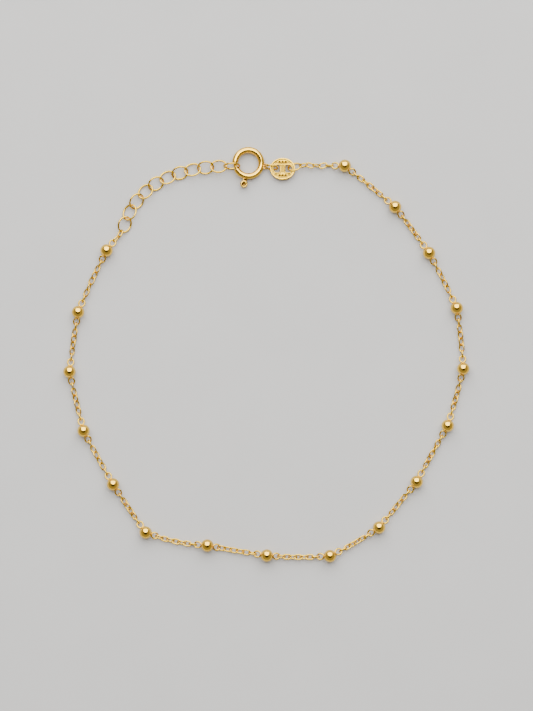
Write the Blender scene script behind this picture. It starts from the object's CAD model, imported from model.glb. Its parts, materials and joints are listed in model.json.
import json
import math
import random
from itertools import zip_longest

import bmesh
import bpy
import numpy as np
from mathutils import Matrix, Vector
from mathutils.geometry import delaunay_2d_cdt


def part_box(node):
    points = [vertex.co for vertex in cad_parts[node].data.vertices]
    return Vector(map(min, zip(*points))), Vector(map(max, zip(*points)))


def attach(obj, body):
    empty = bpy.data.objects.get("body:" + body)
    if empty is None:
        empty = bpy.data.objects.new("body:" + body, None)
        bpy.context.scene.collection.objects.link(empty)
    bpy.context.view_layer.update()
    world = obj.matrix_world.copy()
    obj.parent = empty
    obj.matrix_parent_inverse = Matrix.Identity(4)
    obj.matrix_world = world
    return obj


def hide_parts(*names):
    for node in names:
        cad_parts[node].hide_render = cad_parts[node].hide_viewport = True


# A fine gold bead anklet, fastened and lying flat. Sizes are in millimetres, which MM turns into the
# scene's metres. Places are read from the frame's own solids.

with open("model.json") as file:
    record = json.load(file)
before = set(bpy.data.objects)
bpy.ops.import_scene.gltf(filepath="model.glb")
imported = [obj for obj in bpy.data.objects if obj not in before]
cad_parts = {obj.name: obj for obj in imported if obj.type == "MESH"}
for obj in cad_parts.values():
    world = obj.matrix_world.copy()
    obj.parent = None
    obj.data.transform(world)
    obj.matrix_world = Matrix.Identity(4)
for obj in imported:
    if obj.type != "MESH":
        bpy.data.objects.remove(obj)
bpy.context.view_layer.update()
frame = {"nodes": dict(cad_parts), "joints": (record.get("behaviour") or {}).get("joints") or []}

MM = 0.001
UP = Vector((0, 0, 1))

# Beads. The solder's sizes are half of it along the chain, across it and upwards.
BALL_RADIUS = 1.25
BALL_MERIDIANS, BALL_PARALLELS = 56, 28
BEAD_LOOP = {"Length": 1.7, "Width": 1.5, "Wire": 0.32, "Straight sides": 0.0}
BEAD_LOOP_REACH = 2.8
LOOP_END_DEPTH = 0.2
BEAD_SOLDER = (0.13, 0.4, 0.2)

# Links and rings of round wire, and how finely their meshes are made
CHAIN_LINK = {"Length": 1.9, "Width": 1.25, "Wire": 0.3, "Straight sides": 0.7}
EXTENDER_LINK = {"Length": 3.5, "Width": 2.9, "Wire": 0.36, "Straight sides": 0.0}
CLASP_JUMP_RING = {"Length": 2.8, "Width": 2.25, "Wire": 0.34, "Straight sides": 0.0}
TAG_JUMP_RING = {"Length": 2.95, "Width": 2.15, "Wire": 0.34, "Straight sides": 0.0}
SMALL_LINK_MESH = {"Steps": 26, "Wire sides": 8}
LARGE_LINK_MESH = {"Steps": 64, "Wire sides": 16}

# The chain between two beads: how far its first link's middle is from the ball's, the most that its
# links can be drawn apart, and how each leans, where 0 is flat and 90 on edge. Three stretches have
# turned so that no link between their ends stands on edge.
FIRST_LINK_RUN = 2.9
LONGEST_LINK_RUN = 1.33
FEWEST_LINKS = 6
LINK_LEANS = {6: (85, -33, 38, -35, 33, -88), 7: (85, -25, 70, -20, 40, -35, 90)}
OPEN_LINK_LEANS = {6: (75, -22, 48, -20, 40, -30), 7: (80, -22, 50, -20, 48, -22, 55)}
OPEN_STRETCHES = ("chain_09", "chain_10", "chain_11")
LINK_PLAY_DEGREES = 4.0
TUBE_SECTION_CORNERS = 8

# Clasp, about its own axis: angles in degrees, counter-clockwise from its right-hand side
CLASP_MEAN_RADIUS = 2.625
CLASP_TUBE_RADIUS = 0.625
CLASP_BORE_RADIUS = 0.45
CLASP_LIP = 0.07
CLASP_WORN_EDGE = 0.02
MOUTH_FROM, MOUTH_TO = 178, 207
POCKET_DEGREES = 9
LEVER_DEGREES = 258
LEVER_TRAVEL_DEGREES = 35
BORE_END_DEGREES = 303
SLOT_HALF_HEIGHT = 0.3
SLOT_HALF_WIDTH = 0.54
EYELET_DEGREES, EYELET_RISE = 349, 30
EYELET_OUTSET, EYELET_RADIUS, EYELET_WIRE_RADIUS = 0.95, 0.49, 0.13
EYELET_SOLDER = (0.13, 0.34, 0.16)
BOLT_RADIUS = 0.37
BOLT_TIP_DEGREES, BOLT_TAIL_DEGREES = 173, 264
PAD_DISTANCE = 4.25
PAD_RADIUS, PAD_HALF_THICKNESS, PAD_EDGE = 0.76, 0.31, 0.24
NECK_HALF_WIDTH, NECK_HALF_THICKNESS = 0.45, 0.21
NECK_GROOVE_HALF_WIDTH, NECK_GROOVE_DEPTH = 0.17, 0.16
CLASP_TUBE_SIDES, BOLT_SIDES, NECK_SIDES, PAD_SIDES = 44, 28, 40, 48
CLASP_STEP_DEGREES, BORE_STEP_DEGREES = 2.5, 4

# Tag
TAG_HALF_LENGTH, TAG_HALF_WIDTH = 2.55, 2.2
TAG_THICKNESS = 0.4
TAG_RIM = 0.74
TAG_BRIDGE = 1.14
SLOT_HALF_OPENING = 0.73
TAG_ROUND_OVER = 0.11
TAG_EDGE_CORNERS = 200
EDGE_INSETS = (0.012, 0.035, 0.07, 0.11)
RELIEF_STEP, RELIEF_MARGIN = 0.045, 0.13
FIELD_DEPTH = 0.06
RIDGE_PITCH, RIDGE_DEPTH = 0.17, 0.03
DOT_PITCH, DOT_ROW, DOT_DEPTH = 0.62, 1.33, 0.1
DOT_RIM_RADIUS, DOT_RIM_HALF_WIDTH, DOT_RIM_HEIGHT = 0.29, 0.06, 0.03
FAN_DEGREES, FAN_LINE_DEGREES, FAN_DEPTH = 43, 5.5, 0.04

# Camera and floor
PHOTO_PIXEL = 0.2
PHOTO_HEIGHT_PIXELS = 711
PHOTO_MIDDLE = (0.03, -0.2)
CAMERA_HEIGHT = 700
SENSOR = 36
FLOOR_HALF_SIZE = 1600


# Places, read from the frame


def corners_of(node):
    """The distinct corners of a CAD node, in metres."""
    mesh = frame["nodes"][node].data
    flat = np.empty(len(mesh.vertices) * 3)
    mesh.vertices.foreach_get("co", flat)
    return np.unique(flat.reshape(-1, 3).round(7), axis=0)


def matrix_of(along, across, through, centre):
    turn = Matrix((along, across, through)).transposed().to_4x4()
    return Matrix.Translation(centre) @ turn


def link_matrix(node):
    """Where a link lies: X along it, Y across it and Z through its hole."""
    corners = corners_of(node)
    centre = corners.mean(axis=0)
    axes = np.linalg.eigh(np.cov((corners - centre).T))[1]
    along, through = Vector(axes[:, 2]), Vector(axes[:, 0])
    return matrix_of(along, through.cross(along), through, Vector(centre))


def flat_link_matrix(centre, along, roll_degrees=0.0):
    """A link that lies flat along a direction, then rolls about it."""
    along = along.normalized()
    across = UP.cross(along).normalized()
    flat = matrix_of(along, across, along.cross(across), centre)
    return flat @ Matrix.Rotation(math.radians(roll_degrees), 4, "X")


class Bead:
    """Where a ball lies, and the directions in which its two soldered loops leave it."""

    def __init__(self, node):
        corners = corners_of(node)
        top = corners[corners[:, 2].argmax()]
        self.centre = Vector(top) - UP * BALL_RADIUS * MM
        out = corners - np.array(self.centre)
        far = out[np.linalg.norm(out, axis=1) > (BEAD_LOOP_REACH - LOOP_END_DEPTH) * MM]
        ahead = far @ far[0] > 0
        self.loop_directions = [Vector(far[side].mean(axis=0)).normalized() for side in (ahead, ~ahead)]

    def loop_matrices(self):
        outset = (BEAD_LOOP_REACH - BEAD_LOOP["Length"] / 2) * MM
        return [flat_link_matrix(self.centre + way * outset, way) for way in self.loop_directions]

    def solder(self):
        """The drops of solder that hold the two loops to the ball."""
        drops = Shell()
        for way in self.loop_directions:
            place = flat_link_matrix(self.centre / MM + way * BALL_RADIUS, way)
            drops.add(squashed_ball(BEAD_SOLDER, 14, 6).place(place))
        return drops


def middle_of_tube(node, along):
    """The centre of a tube's middle section."""
    corners = corners_of(node)
    corners = corners[np.argsort(corners @ np.array(along))]
    middle, half_section = len(corners) // 2, TUBE_SECTION_CORNERS // 2
    return Vector(corners[middle - half_section : middle + half_section].mean(axis=0))


def stretch_matrices(node, before, after, twist_way):
    """The links between two beads, evenly spaced on a shallow bend. A longer stretch has one more."""
    start, end = before.centre.copy(), after.centre.copy()
    middle = middle_of_tube(node, end - start)
    start.z = end.z = middle.z
    control = middle * 2 - (start + end) / 2

    def on_route(t):
        return start * (1 - t) ** 2 + control * 2 * t * (1 - t) + end * t**2

    shares = np.linspace(0, 1, 65)
    points = [on_route(t) for t in shares]
    run = np.concatenate([[0], np.cumsum([(b - a).length for a, b in zip(points, points[1:])])])
    gaps = math.ceil((run[-1] / MM - 2 * FIRST_LINK_RUN) / LONGEST_LINK_RUN)
    leans = (OPEN_LINK_LEANS if node in OPEN_STRETCHES else LINK_LEANS)[max(FEWEST_LINKS, gaps + 1)]
    places = np.linspace(FIRST_LINK_RUN * MM, run[-1] - FIRST_LINK_RUN * MM, len(leans))
    matrices = []
    for place, lean in zip(places, leans):
        t = np.interp(place, run, shares)
        along = (control - start) * (1 - t) + (end - control) * t
        play = random.uniform(-LINK_PLAY_DEGREES, LINK_PLAY_DEGREES)
        matrices.append(flat_link_matrix(on_route(t), along, twist_way * lean + play))
    return matrices


# Node trees

# Sockets that are told apart by number, because their names are used twice or more in their node
MIX_SHARE, MIX_ONE, MIX_OTHER, MIX_COLOUR = 0, 6, 7, 2
OBJECT_COORDINATES = 3
ATTRIBUTE_NUMBER = 2


class Value:
    """A node's output that takes Python's arithmetic. Each operator adds a Math node."""

    def __init__(self, maker, output):
        self.maker = maker
        self.output = output

    def maths(self, operation, *values):
        return self.maker.node("ShaderNodeMath", {"operation": operation}, dict(enumerate(values)))

    def __add__(self, other):
        return self.maths("ADD", self, other)

    def __sub__(self, other):
        return self.maths("SUBTRACT", self, other)

    def __rsub__(self, other):
        return self.maths("SUBTRACT", other, self)

    def __mul__(self, other):
        return self.maths("MULTIPLY", self, other)

    def __truediv__(self, other):
        return self.maths("DIVIDE", self, other)

    def __rtruediv__(self, other):
        return self.maths("DIVIDE", other, self)

    __radd__ = __add__
    __rmul__ = __mul__

    def sign(self):
        return self.maths("SIGN", self)

    def steep(self, low, high):
        """0 up to low, 1 from high, and smooth between them."""
        settings = {"interpolation_type": "SMOOTHSTEP", "clamp": True}
        inputs = {"Value": self, "From Min": low, "From Max": high}
        return self.maker.node("ShaderNodeMapRange", settings, inputs)


class Maker:
    """Adds nodes to one tree and joins them."""

    def __init__(self, tree):
        self.tree = tree

    def node(self, kind, settings=None, inputs=None, output=0):
        node = self.tree.nodes.new(kind)
        for name, value in (settings or {}).items():
            setattr(node, name, value)
        for name, value in (inputs or {}).items():
            if isinstance(value, Value):
                self.tree.links.new(value.output, node.inputs[name])
            else:
                node.inputs[name].default_value = value
        return Value(self, node.outputs[output]) if len(node.outputs) else node

    def parts(self, vector):
        """A vector's X, Y and Z."""
        node = self.node("ShaderNodeSeparateXYZ", None, {0: vector}).output.node
        return [Value(self, output) for output in node.outputs]

    def mixed_colour(self, share, one, other):
        inputs = {MIX_SHARE: share, MIX_ONE: one, MIX_OTHER: other}
        return self.node("ShaderNodeMix", {"data_type": "RGBA"}, inputs, output=MIX_COLOUR)


def wire_link_tree(material):
    """Puts a link of round wire on each point, turned by the point's own turn."""
    tree = bpy.data.node_groups.new("Wire links", "GeometryNodeTree")
    tree.interface.new_socket("Geometry", in_out="INPUT", socket_type="NodeSocketGeometry")
    for name in ("Length", "Width", "Wire", "Straight sides"):
        tree.interface.new_socket(name, in_out="INPUT", socket_type="NodeSocketFloat")
    for name in ("Steps", "Wire sides"):
        tree.interface.new_socket(name, in_out="INPUT", socket_type="NodeSocketInt")
    tree.interface.new_socket("Geometry", in_out="OUTPUT", socket_type="NodeSocketGeometry")

    make = Maker(tree)
    group_input = tree.nodes.new("NodeGroupInput")
    given = {socket.name: Value(make, socket) for socket in group_input.outputs if socket.name}

    half_length = (given["Length"] - given["Wire"]) / 2
    half_width = (given["Width"] - given["Wire"]) / 2
    end_radius = half_length + (half_width - half_length) * given["Straight sides"]
    x, y, _ = make.parts(make.node("GeometryNodeInputPosition"))
    long_x = x * end_radius + x.sign() * (half_length - end_radius)
    place = make.node("ShaderNodeCombineXYZ", None, {"X": long_x, "Y": y * half_width})
    around = {"Resolution": given["Steps"], "Radius": 1.0}
    circle = make.node("GeometryNodeCurvePrimitiveCircle", None, around)
    centreline = make.node("GeometryNodeSetPosition", None, {"Geometry": circle, "Position": place})
    round_wire = {"Resolution": given["Wire sides"], "Radius": given["Wire"] / 2}
    section = make.node("GeometryNodeCurvePrimitiveCircle", None, round_wire)
    swept = {"Curve": centreline, "Profile Curve": section}
    wire = make.node("GeometryNodeCurveToMesh", None, swept)

    turn = make.node("GeometryNodeInputNamedAttribute", {"data_type": "QUATERNION"}, {"Name": "turn"})
    on_points = {"Points": given["Geometry"], "Instance": wire, "Rotation": turn}
    links = make.node("GeometryNodeInstanceOnPoints", None, on_points)
    real_links = make.node("GeometryNodeRealizeInstances", None, {0: links})
    smooth = make.node("GeometryNodeSetShadeSmooth", None, {0: real_links})
    finished = make.node("GeometryNodeSetMaterial", None, {"Geometry": smooth, "Material": material})
    group_output = tree.nodes.new("NodeGroupOutput")
    tree.links.new(finished.output, group_output.inputs[0])
    return tree


# Finishes

RECESS_COLOUR = (0.13, 0.055, 0.012)
FLOOR_COLOURS = (0.48, 0.475, 0.465), (0.52, 0.515, 0.505)


def empty_material(name):
    material = bpy.data.materials.new(name)
    material.use_nodes = True
    material.node_tree.nodes.clear()
    return material


def gold(name, colour, deep_colour, roughness, scratch_depth, satin_grain=0.0):
    """Yellow gold. Its tone drifts slowly, handling marks change its gloss, and fine scratches lie in
    two directions. Recesses, which polishing misses, are dark. With a satin grain of some depth, only
    what the piece's polish attribute marks is polished."""
    material = empty_material(name)
    make = Maker(material.node_tree)
    place = make.node("ShaderNodeTexCoord", output=OBJECT_COORDINATES)

    def noise(per_mm, detail, stretch=(1, 1, 1), turn=(0, 0, 0), distortion=0.0):
        scale = tuple(per_mm * s / MM for s in stretch)
        mapped = make.node("ShaderNodeMapping", None, {"Vector": place, "Rotation": turn, "Scale": scale})
        inputs = {"Vector": mapped, "Scale": 1.0, "Detail": detail, "Distortion": distortion}
        return make.node("ShaderNodeTexNoise", None, inputs)

    def marked(attribute):
        return make.node("ShaderNodeAttribute", {"attribute_name": attribute}, output=ATTRIBUTE_NUMBER)

    drift = noise(0.11, 2.0).steep(0.35, 0.65)
    marks = noise(1.6, 4.0, distortion=0.4).steep(0.42, 0.72)
    fine_marks = noise(7.0, 3.0).steep(0.4, 0.75)
    along = noise(1.3, 2.0, stretch=(1, 26, 26), turn=(0.3, 0.2, 0.5))
    across = noise(1.1, 2.0, stretch=(24, 1, 24), turn=(0.1, 0.4, -0.7))
    scratches = along.steep(0.6, 0.72) + across.steep(0.62, 0.74)
    rough = marks * (roughness * 0.7) + fine_marks * (roughness * 0.3) + roughness * 0.6 + scratches * 0.05
    height = scratches * -scratch_depth + marks * (scratch_depth * 0.3)
    if satin_grain:
        satin = 1 - marked("polish")
        rough = rough + satin * 0.24
        height = height + noise(16.0, 2.0) * satin * satin_grain

    clean = make.mixed_colour(drift * 0.7 + marks * 0.3, (*deep_colour, 1), (*colour, 1))
    recess = marked("recess")
    tarnished = make.mixed_colour(recess * 0.95, clean, (*RECESS_COLOUR, 1))
    bump = make.node("ShaderNodeBump", None, {"Strength": 0.5, "Distance": MM, "Height": height})
    shader = make.node(
        "ShaderNodeBsdfPrincipled",
        None,
        {"Base Color": tarnished, "Metallic": 1.0, "Roughness": rough + recess * 0.3, "Normal": bump},
    )
    make.node("ShaderNodeOutputMaterial", None, {"Surface": shader})
    return material


def pale_floor():
    material = empty_material("pale floor")
    make = Maker(material.node_tree)
    place = make.node("ShaderNodeTexCoord", output=OBJECT_COORDINATES)
    cloud = make.node("ShaderNodeTexNoise", None, {"Vector": place, "Scale": 60.0, "Detail": 4.0})
    fibre = make.node("ShaderNodeTexNoise", None, {"Vector": place, "Scale": 2600.0, "Detail": 3.0})
    darker, lighter = FLOOR_COLOURS
    colour = make.mixed_colour(cloud, (*darker, 1), (*lighter, 1))
    bump = make.node("ShaderNodeBump", None, {"Strength": 0.15, "Distance": 0.05 * MM, "Height": fibre})
    surface = {"Base Color": colour, "Roughness": 0.7, "Normal": bump}
    shader = make.node("ShaderNodeBsdfPrincipled", None, surface)
    make.node("ShaderNodeOutputMaterial", None, {"Surface": shader})
    return material


BALL_GOLD = gold(
    "polished ball gold",
    colour=(0.9, 0.58, 0.08),
    deep_colour=(0.83, 0.51, 0.06),
    roughness=0.1,
    scratch_depth=0.0004,
)
WIRE_GOLD = gold(
    "drawn wire gold",
    colour=(0.85, 0.55, 0.04),
    deep_colour=(0.74, 0.45, 0.028),
    roughness=0.12,
    scratch_depth=0.001,
)
CLASP_GOLD = gold(
    "polished clasp gold",
    colour=(0.88, 0.56, 0.075),
    deep_colour=(0.8, 0.48, 0.055),
    roughness=0.1,
    scratch_depth=0.0004,
)
TAG_GOLD = gold(
    "stamped tag gold",
    colour=(0.78, 0.5, 0.04),
    deep_colour=(0.7, 0.43, 0.03),
    roughness=0.12,
    scratch_depth=0.001,
    satin_grain=0.004,
)
WIRE_LINKS = wire_link_tree(WIRE_GOLD)


# Making meshes and pieces


class Shell:
    """Corners in millimetres, how recessed each is, and the faces between them."""

    def __init__(self):
        self.corners = []
        self.recess = []
        self.faces = []

    def ring(self, points, recess=0.0):
        first = len(self.corners)
        self.corners.extend(points)
        self.recess.extend([recess] * len(points))
        return list(range(first, len(self.corners)))

    def band(self, one, other):
        """Faces between two rings of the same number of corners."""
        for k in range(len(one)):
            following = (k + 1) % len(one)
            self.faces.append((one[k], one[following], other[following], other[k]))

    def cap(self, ring, centre, reverse=False):
        tip = self.ring([centre], self.recess[ring[0]])[0]
        for k in range(len(ring)):
            pair = (ring[k], ring[(k + 1) % len(ring)])
            self.faces.append((*(reversed(pair) if reverse else pair), tip))

    def closed_rings(self, rings, start, end, recesses=()):
        """A closed surface through rings, from one point to another."""
        loops = [self.ring(ring, recess) for ring, recess in zip_longest(rings, recesses, fillvalue=0.0)]
        self.cap(loops[0], start, reverse=True)
        for one, other in zip(loops, loops[1:]):
            self.band(one, other)
        self.cap(loops[-1], end)

    def place(self, matrix):
        self.corners = [matrix @ Vector(corner) for corner in self.corners]
        return self

    def add(self, other):
        first = len(self.corners)
        self.corners.extend(other.corners)
        self.recess.extend(other.recess)
        self.faces.extend(tuple(first + corner for corner in face) for face in other.faces)
        return self


def turned(radius, angle):
    """A point in the XY plane, at an angle in radians."""
    return Vector((radius * math.cos(angle), radius * math.sin(angle), 0))


def full_turn(count):
    return [2 * math.pi * k / count for k in range(count)]


def torus(radius, wire_radius, steps=40, sides=14):
    shell = Shell()
    rings = []
    for way in (turned(1, angle) for angle in full_turn(steps)):
        points = [
            way * (radius + wire_radius * math.cos(angle)) + UP * wire_radius * math.sin(angle)
            for angle in full_turn(sides)
        ]
        rings.append(shell.ring(points))
    for k in range(steps):
        shell.band(rings[k], rings[(k + 1) % steps])
    return shell


def squashed_ball(half_sizes, sides=24, rows=12):
    rings = []
    for row in range(1, rows):
        angle = math.pi * row / rows
        ring = [turned(math.sin(angle), around) - UP * math.cos(angle) for around in full_turn(sides)]
        rings.append([point * Vector(half_sizes) for point in ring])
    shell = Shell()
    shell.closed_rings(rings, *(UP * end * half_sizes[2] for end in (-1, 1)))
    return shell


def mesh_of(name, shell):
    mesh = bpy.data.meshes.new(name)
    mesh.from_pydata([tuple(Vector(corner) * MM) for corner in shell.corners], [], shell.faces)
    mesh.attributes.new("recess", "FLOAT", "POINT").data.foreach_set("value", shell.recess)
    cleaner = bmesh.new()
    cleaner.from_mesh(mesh)
    bmesh.ops.remove_doubles(cleaner, verts=cleaner.verts, dist=1e-8)
    bmesh.ops.recalc_face_normals(cleaner, faces=cleaner.faces)
    cleaner.to_mesh(mesh)
    cleaner.free()
    return mesh


def object_of(name, data):
    thing = bpy.data.objects.new(name, data)
    bpy.context.scene.collection.objects.link(thing)
    return thing


def evaluated_mesh(thing):
    """The plain mesh that an object's modifiers make. The modifiers are then removed."""
    depsgraph = bpy.context.evaluated_depsgraph_get()
    mesh = bpy.data.meshes.new_from_object(thing.evaluated_get(depsgraph), depsgraph=depsgraph)
    thing.modifiers.clear()
    return mesh


def smooth_but_creased(mesh, crease_degrees):
    mesh.polygons.foreach_set("use_smooth", [True] * len(mesh.polygons))
    mesh.set_sharp_from_angle(angle=math.radians(crease_degrees))


def finish_piece(thing, body, nodes):
    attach(thing, body)
    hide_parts(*nodes)


def wire_links(name, matrices, size, fineness):
    """One object of wire links at the given places."""
    points = bpy.data.meshes.new(f"{name} places")
    points.from_pydata([matrix.translation for matrix in matrices], [], [])
    turns = points.attributes.new("turn", "QUATERNION", "POINT")
    turns.data.foreach_set("value", [part for matrix in matrices for part in matrix.to_quaternion()])
    thing = object_of(name, points)
    modifier = thing.modifiers.new("Wire links", "NODES")
    modifier.node_group = WIRE_LINKS
    in_metres = {key: value * MM for key, value in size.items() if key != "Straight sides"}
    values = {**size, **in_metres, **fineness}
    for item in WIRE_LINKS.interface.items_tree:
        if item.in_out == "INPUT" and item.name in values:
            modifier[item.identifier] = values[item.name]
    thing.data = evaluated_mesh(thing)
    thing.data.name = name
    return thing


# Beads


def make_beads(beads):
    """Every ball, with its poles where its chain runs, and the two loops soldered to it."""
    balls = bmesh.new()
    for bead in beads:
        turn = bead.loop_directions[0].to_track_quat("Z", "Y").to_matrix().to_4x4()
        bmesh.ops.create_uvsphere(
            balls,
            u_segments=BALL_MERIDIANS,
            v_segments=BALL_PARALLELS,
            radius=BALL_RADIUS * MM,
            matrix=Matrix.Translation(bead.centre) @ turn,
        )
    mesh = bpy.data.meshes.new("beads")
    balls.to_mesh(mesh)
    balls.free()
    loop_places = [matrix for bead in beads for matrix in bead.loop_matrices()]
    loops = wire_links("bead_loops", loop_places, BEAD_LOOP, SMALL_LINK_MESH)

    # The balls go in from their finished mesh, so that their faces come before all the others
    joined = bmesh.new()
    joined.from_mesh(mesh)
    ball_faces = len(joined.faces)
    joined.from_mesh(loops.data)
    bpy.data.objects.remove(loops)
    for bead in beads:
        joined.from_mesh(mesh_of("solder", bead.solder()))
    joined.faces.ensure_lookup_table()
    for face in joined.faces:
        face.smooth = True
    for face in joined.faces[ball_faces:]:
        face.material_index = 1
    joined.to_mesh(mesh)
    joined.free()
    mesh.materials.append(BALL_GOLD)
    mesh.materials.append(WIRE_GOLD)
    return object_of("beads", mesh)


# Clasp


def clasp_matrix():
    """The clasp's middle and its axis, from the lever's joint."""
    joint = next(joint for joint in frame["joints"] if joint["child"] == "trigger")
    axis = Vector(joint["axis"]).normalized()
    right = Vector((1, 0, 0))
    right = (right - axis * right.dot(axis)).normalized()
    return matrix_of(right, axis.cross(right), axis, Vector(joint["pos_m"]) / MM)


def section_ring(degrees, radius, sides):
    """The ring of corners where a tube of this radius crosses the clasp's centreline."""
    out = turned(1, math.radians(degrees))
    return [
        out * (CLASP_MEAN_RADIUS + radius * math.cos(angle)) + UP * radius * math.sin(angle)
        for angle in full_turn(sides)
    ]


def on_centreline(degrees):
    return turned(CLASP_MEAN_RADIUS, math.radians(degrees))


def degrees_for(length):
    """The angle that a length along the clasp's centreline takes up."""
    return math.degrees(length / CLASP_MEAN_RADIUS)


def swept_along_clasp(sections, sides):
    """A closed tube round the clasp's centreline, from sections of an angle and a radius."""
    shell = Shell()
    rings = [section_ring(degrees, radius, sides) for degrees, radius in sections]
    shell.closed_rings(rings, on_centreline(sections[0][0]), on_centreline(sections[-1][0]))
    return shell


def lip_sections(face_degrees, inwards):
    """The rounded edge where the tube ends, from its flat end face out to its full radius."""
    sections = []
    for k in range(7):
        angle = math.radians(90 * k / 6)
        drop = degrees_for(CLASP_LIP * (1 - math.sin(angle)))
        radius = CLASP_TUBE_RADIUS - CLASP_LIP * (1 - math.cos(angle))
        sections.append((face_degrees + inwards * drop, radius))
    return sections[::-1]


def clasp_tube():
    """The bent tube: its outside, the two end faces at the mouth, the long bore that holds the bolt
    and the short pocket that takes its tip."""
    mouth_end = MOUTH_FROM + 360
    bore = range(BORE_END_DEGREES - 3, MOUTH_TO + 1, -BORE_STEP_DEGREES)
    outside = np.arange(MOUTH_TO + 4, mouth_end - 3, CLASP_STEP_DEGREES)
    sections = [(BORE_END_DEGREES, CLASP_BORE_RADIUS)]
    sections += [(degrees, CLASP_BORE_RADIUS) for degrees in bore]
    sections.append((MOUTH_TO, CLASP_BORE_RADIUS))
    sections += lip_sections(MOUTH_TO, 1)
    sections += [(degrees, CLASP_TUBE_RADIUS) for degrees in outside]
    sections += lip_sections(mouth_end, -1)[::-1]
    sections.append((mouth_end, CLASP_BORE_RADIUS))
    sections.append((mouth_end - POCKET_DEGREES, CLASP_BORE_RADIUS))
    return swept_along_clasp(sections, CLASP_TUBE_SIDES)


def slot_cutter():
    """A round-ended slot through the outer wall, as long as the lever's way."""
    half_way = math.radians(LEVER_TRAVEL_DEGREES / 2)
    middle = math.radians(LEVER_DEGREES) + half_way
    spare = (SLOT_HALF_WIDTH - SLOT_HALF_HEIGHT) / CLASP_MEAN_RADIUS
    outline = []
    for side in (1, -1):
        for k in range(13):
            angle = math.radians(-90 + 15 * k)
            along = side * (half_way + spare + SLOT_HALF_HEIGHT * math.cos(angle) / CLASP_MEAN_RADIUS)
            outline.append((middle + along, side * SLOT_HALF_HEIGHT * math.sin(angle)))
    inside_bore, past_tube = CLASP_MEAN_RADIUS + 0.1, CLASP_MEAN_RADIUS + CLASP_TUBE_RADIUS + 0.4
    rings = [[turned(radius, a) + UP * z for a, z in outline] for radius in (inside_bore, past_tube)]
    shell = Shell()
    shell.closed_rings(rings, turned(inside_bore, middle), turned(past_tube, middle))
    return shell


def eyelet():
    """The wire eyelet and the solder that holds it to the tube."""
    place = (
        Matrix.Rotation(math.radians(EYELET_DEGREES), 4, "Z")
        @ Matrix.Translation((CLASP_MEAN_RADIUS, 0, 0))
        @ Matrix.Rotation(-math.radians(EYELET_RISE), 4, "Y")
    )
    ring = torus(EYELET_RADIUS, EYELET_WIRE_RADIUS).place(Matrix.Translation((EYELET_OUTSET, 0, 0)))
    solder = squashed_ball(EYELET_SOLDER).place(Matrix.Translation((CLASP_TUBE_RADIUS - 0.03, 0, 0)))
    return ring.add(solder).place(place)


def make_clasp_body(place):
    tube = object_of("clasp_body", mesh_of("clasp tube", clasp_tube()))
    cutter = object_of("slot cutter", mesh_of("slot cutter", slot_cutter()))
    cut = tube.modifiers.new("Slot", "BOOLEAN")
    cut.operation = "DIFFERENCE"
    cut.solver = "EXACT"
    cut.object = cutter
    tube.data = evaluated_mesh(tube)
    bpy.data.objects.remove(cutter)
    bevel = tube.modifiers.new("Worn edges", "BEVEL")
    bevel.width = CLASP_WORN_EDGE * MM
    bevel.segments = 2
    bevel.limit_method = "ANGLE"
    bevel.angle_limit = math.radians(40)
    tube.data = evaluated_mesh(tube)
    joined = bmesh.new()
    joined.from_mesh(tube.data)
    joined.from_mesh(mesh_of("eyelet", eyelet()))
    joined.to_mesh(tube.data)
    joined.free()
    place_in_metres = place.copy()
    place_in_metres.translation = place.translation * MM
    tube.data.transform(place_in_metres)
    smooth_but_creased(tube.data, 38)
    tube.data.materials.append(CLASP_GOLD)
    return tube


def bolt():
    """The curved bolt, rounded at its tip and its tail."""
    nose = degrees_for(BOLT_RADIUS * 0.55)
    shaft = np.arange(BOLT_TIP_DEGREES + nose + 2, BOLT_TAIL_DEGREES - 2, CLASP_STEP_DEGREES)
    sections = [(BOLT_TIP_DEGREES, BOLT_RADIUS * 0.45)]
    for k in range(2, 7):
        rise = math.sin(math.radians(15 * k))
        sections.append((BOLT_TIP_DEGREES + nose * (1 - rise), BOLT_RADIUS * (0.35 + 0.65 * rise)))
    sections += [(degrees, BOLT_RADIUS) for degrees in shaft]
    sections.append((BOLT_TAIL_DEGREES - 1, BOLT_RADIUS))
    sections.append((BOLT_TAIL_DEGREES, BOLT_RADIUS * 0.8))
    return swept_along_clasp(sections, BOLT_SIDES)


def lever_neck():
    """The neck between bolt and pad: waisted, with a groove pressed along its upper side."""
    rings = []
    for x, width, groove in (
        (CLASP_MEAN_RADIUS, 1.0, 0.0),
        (CLASP_MEAN_RADIUS + 0.55, 1.0, 0.0),
        (CLASP_MEAN_RADIUS + 0.75, 0.92, 0.35),
        (CLASP_MEAN_RADIUS + 0.95, 0.88, 0.8),
        (CLASP_MEAN_RADIUS + 1.15, 0.96, 1.0),
        (PAD_DISTANCE - 0.25, 1.0, 1.0),
    ):
        ring = []
        for angle in full_turn(NECK_SIDES):
            c, s = math.cos(angle), math.sin(angle)
            y = NECK_HALF_WIDTH * width * math.copysign(abs(c) ** 0.5, c)
            z = NECK_HALF_THICKNESS * math.copysign(abs(s) ** 0.5, s)
            if s > 0:
                z -= math.exp(-((y / NECK_GROOVE_HALF_WIDTH) ** 2)) * NECK_GROOVE_DEPTH * groove
            ring.append(Vector((x, y, z)))
        rings.append(ring)
    shell = Shell()
    shell.closed_rings(rings, Vector((rings[0][0].x, 0, 0)), Vector((rings[-1][0].x, 0, -0.1)))
    return shell


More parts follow.
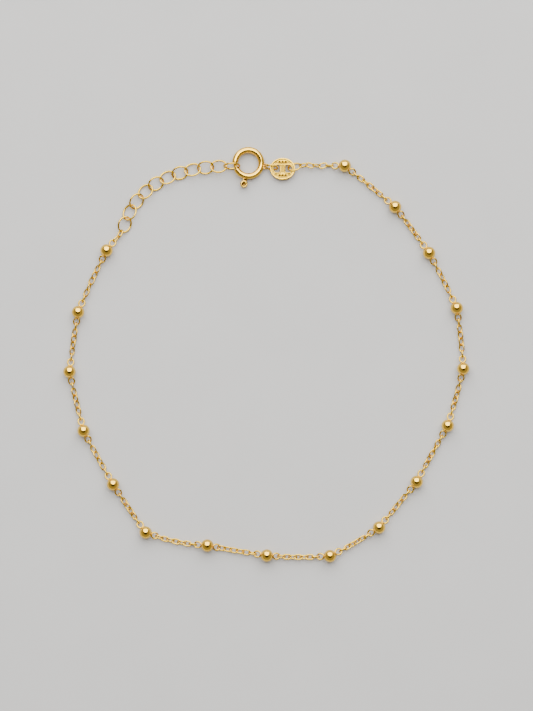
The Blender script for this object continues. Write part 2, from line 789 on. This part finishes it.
def lever_pad():
    """The round pad for the fingernail: a rolled edge and a deep dish in its upper side."""
    half, rolled = PAD_HALF_THICKNESS, PAD_RADIUS - PAD_EDGE
    profile = [(0.2, -half), (rolled - 0.08, -half)]
    for k in range(-4, 5):
        angle = math.radians(90 * k / 4.5)
        profile.append((rolled + PAD_EDGE * math.cos(angle), half * math.sin(angle)))
    profile += [(rolled, half), (0.46, half - 0.02), (0.425, half - 0.06)]
    dish = [(0.4, half - 0.12), (0.37, half - 0.24), (0.3, half - 0.33), (0.15, half - 0.37)]
    recesses = [0.0] * len(profile) + [1.0] * len(dish)
    around = full_turn(PAD_SIDES)
    rings = [[turned(radius, a) + UP * z for a in around] for radius, z in profile + dish]
    shell = Shell()
    shell.closed_rings(rings, UP * -half, UP * (half - 0.38), recesses)
    return shell.place(Matrix.Translation((PAD_DISTANCE, 0, 0)))


def make_clasp_lever(place):
    lever = lever_neck().add(lever_pad()).place(Matrix.Rotation(math.radians(LEVER_DEGREES), 4, "Z"))
    mesh = mesh_of("clasp_lever", bolt().add(lever).place(place))
    smooth_but_creased(mesh, 50)
    mesh.materials.append(CLASP_GOLD)
    return object_of("clasp_lever", mesh)


# Tag


def quadratic(start, control, end, count):
    shares = [k / count for k in range(count)]
    return [
        tuple(s * (1 - t) ** 2 + 2 * c * t * (1 - t) + e * t * t for s, c, e in zip(start, control, end))
        for t in shares
    ]


def slot_outline(side):
    """The D-shaped slot at one side of the bridge."""
    inner, outer, half = TAG_BRIDGE / 2, TAG_HALF_LENGTH - TAG_RIM, SLOT_HALF_OPENING
    low, high, bend = -half * 0.72, half * 0.72, inner + 0.3
    line = [(inner, high + (low - high) * k / 18) for k in range(18)]
    line += quadratic((inner, low), (inner, -half), (bend, -half), 7)
    line += quadratic((bend, -half), (outer, -half), (outer, 0), 28)
    line += quadratic((outer, 0), (outer, half), (bend, half), 28)
    line += quadratic((bend, half), (inner, half), (inner, high), 7)
    return [(side * x, y) for x, y in line]


TAG_EDGE = [
    (TAG_HALF_LENGTH * math.cos(angle), TAG_HALF_WIDTH * math.sin(angle))
    for angle in full_turn(TAG_EDGE_CORNERS)
]
TAG_SLOTS = [slot_outline(-1), slot_outline(1)]


def distance_to_outline(points, outline):
    """How far each point is from a closed outline, and whether it is inside it."""
    start = np.array(outline)
    run = np.roll(start, -1, axis=0) - start
    nearest = np.full(len(points), np.inf)
    inside = np.zeros(len(points), bool)
    for (sx, sy), (rx, ry) in zip(start, run):
        away = points - (sx, sy)
        share = np.clip(away @ (rx, ry) / (rx * rx + ry * ry), 0, 1)
        nearest = np.minimum(nearest, np.linalg.norm(away - share[:, None] * (rx, ry), axis=1))
        crosses = (sy > points[:, 1]) != (sy + ry > points[:, 1])
        inside ^= crosses & (points[:, 0] < sx + rx * (points[:, 1] - sy) / (ry if ry else 1e-12))
    return nearest, inside


def distances_on_tag(points):
    """How far points are from the tag's edge and from its slots, and whether they are on its metal."""
    from_edge, on_metal = distance_to_outline(points, TAG_EDGE)
    from_slots = np.full(len(points), np.inf)
    for outline in TAG_SLOTS:
        away, in_slot = distance_to_outline(points, outline)
        from_slots = np.minimum(from_slots, away)
        on_metal &= ~in_slot
    return from_edge, from_slots, on_metal


def inset_outline(outline, inset):
    """An outline moved inwards, or outwards if inset is negative."""
    points = np.array(outline)
    after, before = np.roll(points, -1, axis=0), np.roll(points, 1, axis=0)
    area = np.sum(points[:, 0] * after[:, 1] - after[:, 0] * points[:, 1])
    run = after - before
    normal = np.stack([-run[:, 1], run[:, 0]], axis=1) / np.linalg.norm(run, axis=1)[:, None]
    return [Vector(point) for point in points + normal * inset * np.sign(area)]


def tag_plan():
    """Points all over the tag's metal, closest together along its edges, and triangles between them."""
    points = []
    lines = []
    for outline in (TAG_EDGE, *TAG_SLOTS):
        first, count = len(points), len(outline)
        points += [Vector(point) for point in outline]
        lines += [(first + k, first + (k + 1) % count) for k in range(count)]
    for outline, onto_metal in zip((TAG_EDGE, *TAG_SLOTS), (1, -1, -1)):
        for inset in EDGE_INSETS:
            points += inset_outline(outline, onto_metal * inset)
    grid_x = np.arange(-TAG_HALF_LENGTH, TAG_HALF_LENGTH, RELIEF_STEP)
    grid_y = np.arange(-TAG_HALF_WIDTH, TAG_HALF_WIDTH, RELIEF_STEP)
    grid = np.array([(x, y) for y in grid_y for x in grid_x])
    from_edge, from_slots, on_metal = distances_on_tag(grid)
    clear = on_metal & (np.minimum(from_edge, from_slots) > RELIEF_MARGIN)
    points += [Vector(point) for point in grid[clear]]
    corners, _, faces, *_ = delaunay_2d_cdt(points, lines, [], 0, 1e-5)
    plan = np.array([tuple(corner) for corner in corners])
    middles = np.array([plan[list(face)].mean(axis=0) for face in faces])
    on_metal = distances_on_tag(middles)[2]
    return plan, [face for face, kept in zip(faces, on_metal) if kept]


def smooth_step(value, low, high):
    share = np.clip((value - low) / (high - low), 0, 1)
    return share * share * (3 - 2 * share)


def tag_relief(plan):
    """The stamped face at points in the tag's own plane: how high, how polished and how recessed."""
    x, y = plan[:, 0], plan[:, 1]
    from_edge, from_slots, _ = distances_on_tag(plan)
    fall = np.clip(1 - np.minimum(from_edge, from_slots) / TAG_ROUND_OVER, 0, 1)
    height = -TAG_ROUND_OVER * (1 - np.sqrt(1 - fall**2 * 0.999))

    # A raised rim and slot collars round a lower field, which is a little dark along its border
    rim = 1 - smooth_step(from_edge, 0.25, 0.32)
    collar = 1 - smooth_step(from_slots, 0.17, 0.23)
    raised = np.maximum(rim, collar)
    height -= FIELD_DEPTH * (1 - raised)
    border = 1 - smooth_step(np.minimum(from_edge - 0.25, from_slots - 0.17), 0.07, 0.14)
    recess = 0.35 * (1 - raised) * border

    # Ridges along the bridge
    on_bridge = (1 - smooth_step(np.abs(x), 0.34, 0.4)) * (1 - smooth_step(np.abs(y), 0.66, 0.74))
    ridges = 0.5 + 0.5 * np.cos(2 * np.pi * x / RIDGE_PITCH)
    height -= RIDGE_DEPTH * on_bridge * ridges
    recess = np.maximum(recess, 0.6 * on_bridge * ridges)

    # Two rows of punched dots, each with the burr that a punch raises
    for row in (-1, 1):
        for column in (-1, 0, 1):
            away = np.hypot(x - DOT_PITCH * column, y - row * DOT_ROW)
            punched = 1 - smooth_step(away, 0.14, 0.24)
            burr = np.exp(-(((away - DOT_RIM_RADIUS) / DOT_RIM_HALF_WIDTH) ** 2))
            height += DOT_RIM_HEIGHT * burr - DOT_DEPTH * punched
            recess = np.maximum(recess, punched)

    # Fans of short lines beside the rows
    degrees = np.degrees(np.arctan2(y, np.abs(x)))
    for centre in (-FAN_DEGREES, FAN_DEGREES):
        patch = 1 - smooth_step(np.abs(degrees - centre), 8, 10)
        patch *= smooth_step(from_edge, 0.32, 0.36) * (1 - smooth_step(from_edge, 0.74, 0.78))
        lines = 0.5 + 0.5 * np.cos(2 * np.pi * (degrees - centre) / FAN_LINE_DEGREES)
        height -= FAN_DEPTH * patch * lines
        recess = np.maximum(recess, 0.8 * patch * lines)
    return height, raised, recess


def sides_between(faces, count):
    """Side faces from the border of the upper faces down to the corners count places on."""
    uses = {}
    for face in faces:
        for pair in zip(face, (*face[1:], face[0])):
            uses.setdefault(frozenset(pair), []).append(pair)
    borders = [pairs[0] for pairs in uses.values() if len(pairs) == 1]
    return [(b, a, count + a, count + b) for a, b in borders]


def make_tag():
    low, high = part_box("tag")
    middle, top = (low + high) / 2, high.z / MM
    plan, faces = tag_plan()
    height, raised, recess = tag_relief(plan)
    count = len(plan)
    upper = [(x, y, top + h) for (x, y), h in zip(plan, height)]
    lower = [(x, y, top - TAG_THICKNESS) for x, y in plan]
    under = [tuple(count + k for k in reversed(face)) for face in faces]
    place = Vector((middle.x, middle.y, 0))
    mesh = bpy.data.meshes.new("stamped_tag")
    mesh.from_pydata(
        [Vector(corner) * MM + place for corner in upper + lower],
        [],
        faces + under + sides_between(faces, count),
    )
    polish = mesh.attributes.new("polish", "FLOAT", "POINT")
    polish.data.foreach_set("value", np.concatenate([raised, np.full(count, 0.3)]))
    dark = mesh.attributes.new("recess", "FLOAT", "POINT")
    dark.data.foreach_set("value", np.concatenate([recess, np.zeros(count)]))
    cleaner = bmesh.new()
    cleaner.from_mesh(mesh)
    bmesh.ops.recalc_face_normals(cleaner, faces=cleaner.faces)
    loose = [corner for corner in cleaner.verts if not corner.link_faces]
    bmesh.ops.delete(cleaner, geom=loose, context="VERTS")
    cleaner.to_mesh(mesh)
    cleaner.free()
    smooth_but_creased(mesh, 50)
    mesh.materials.append(TAG_GOLD)
    return object_of("stamped_tag", mesh)


# Floor, light and camera


def make_floor():
    half = FLOOR_HALF_SIZE * MM
    corners = [(-half, -half, 0), (half, -half, 0), (half, half, 0), (-half, half, 0)]
    mesh = bpy.data.meshes.new("floor")
    mesh.from_pydata(corners, [], [(0, 1, 2, 3)])
    mesh.materials.append(pale_floor())
    floor = object_of("floor", mesh)


def make_softbox(name, place, width, height, watts):
    """A softbox at a place in metres, facing the anklet."""
    light = bpy.data.lights.new(name, "AREA")
    light.shape = "RECTANGLE"
    light.size, light.size_y = width, height
    light.energy = watts
    box = object_of(name, light)
    box.location = place
    box.rotation_euler = (-Vector(place)).to_track_quat("-Z", "Y").to_euler()


def make_world():
    """A room that is bright low down and dark overhead."""
    world = bpy.data.worlds.new("studio")
    world.use_nodes = True
    tree = world.node_tree
    tree.nodes.clear()
    make = Maker(tree)
    _, _, height = make.parts(make.node("ShaderNodeTexCoord"))
    strength = 0.48 - height.steep(0.62, 0.95) * 0.44
    room = make.node("ShaderNodeBackground", None, {"Color": (1.0, 0.93, 0.84, 1), "Strength": strength})
    make.node("ShaderNodeOutputWorld", None, {"Surface": room})
    bpy.context.scene.world = world


def make_camera():
    """Straight above the loop, with the photo's field of view."""
    camera = bpy.data.cameras.new("camera")
    camera.sensor_fit = "VERTICAL"
    camera.sensor_height = SENSOR
    camera.lens = SENSOR * CAMERA_HEIGHT / (PHOTO_PIXEL * PHOTO_HEIGHT_PIXELS)
    camera.clip_start, camera.clip_end = 0.01, 10
    eye = object_of("camera", camera)
    eye.location = (PHOTO_MIDDLE[0] * MM, PHOTO_MIDDLE[1] * MM, CAMERA_HEIGHT * MM)
    bpy.context.scene.camera = eye


# The whole anklet


def nodes_called(*starts):
    return sorted(node for node in frame["nodes"] if node.startswith(starts))


random.seed(11)
make_camera()
make_floor()
make_world()
make_softbox("key softbox", (0.0, 0.64, 0.68), 1.5, 1.15, 31)
make_softbox("overhead softbox", (0.0, 0.2, 1.2), 0.85, 0.22, 6)

bead_nodes = nodes_called("bead_")
beads = [Bead(node) for node in bead_nodes]
finish_piece(make_beads(beads), "anklet", bead_nodes)

single_nodes = nodes_called("chain_link_")
tube_nodes = nodes_called("chain_0", "chain_1")
fine_links = [link_matrix(node) for node in single_nodes]
for number, node in enumerate(tube_nodes):
    fine_links += stretch_matrices(node, beads[number], beads[number + 1], 1 if number % 2 else -1)
fine_chain = wire_links("fine_chain", fine_links, CHAIN_LINK, SMALL_LINK_MESH)
finish_piece(fine_chain, "anklet", single_nodes + tube_nodes)

extender_nodes = nodes_called("extender_")
extender_links = [link_matrix(node) for node in extender_nodes]
extender = wire_links("extender_chain", extender_links, EXTENDER_LINK, LARGE_LINK_MESH)
finish_piece(extender, "anklet", extender_nodes)

for node, size in (("jump_ring_clasp", CLASP_JUMP_RING), ("jump_ring_tag", TAG_JUMP_RING)):
    ring = wire_links(f"{node}_wire", [link_matrix(node)], size, LARGE_LINK_MESH)
    finish_piece(ring, "anklet", [node])

clasp_place = clasp_matrix()
finish_piece(make_clasp_body(clasp_place), "anklet", ["clasp_ring"])
finish_piece(make_clasp_lever(clasp_place), "trigger", ["clasp_trigger"])
finish_piece(make_tag(), "anklet", ["tag"])
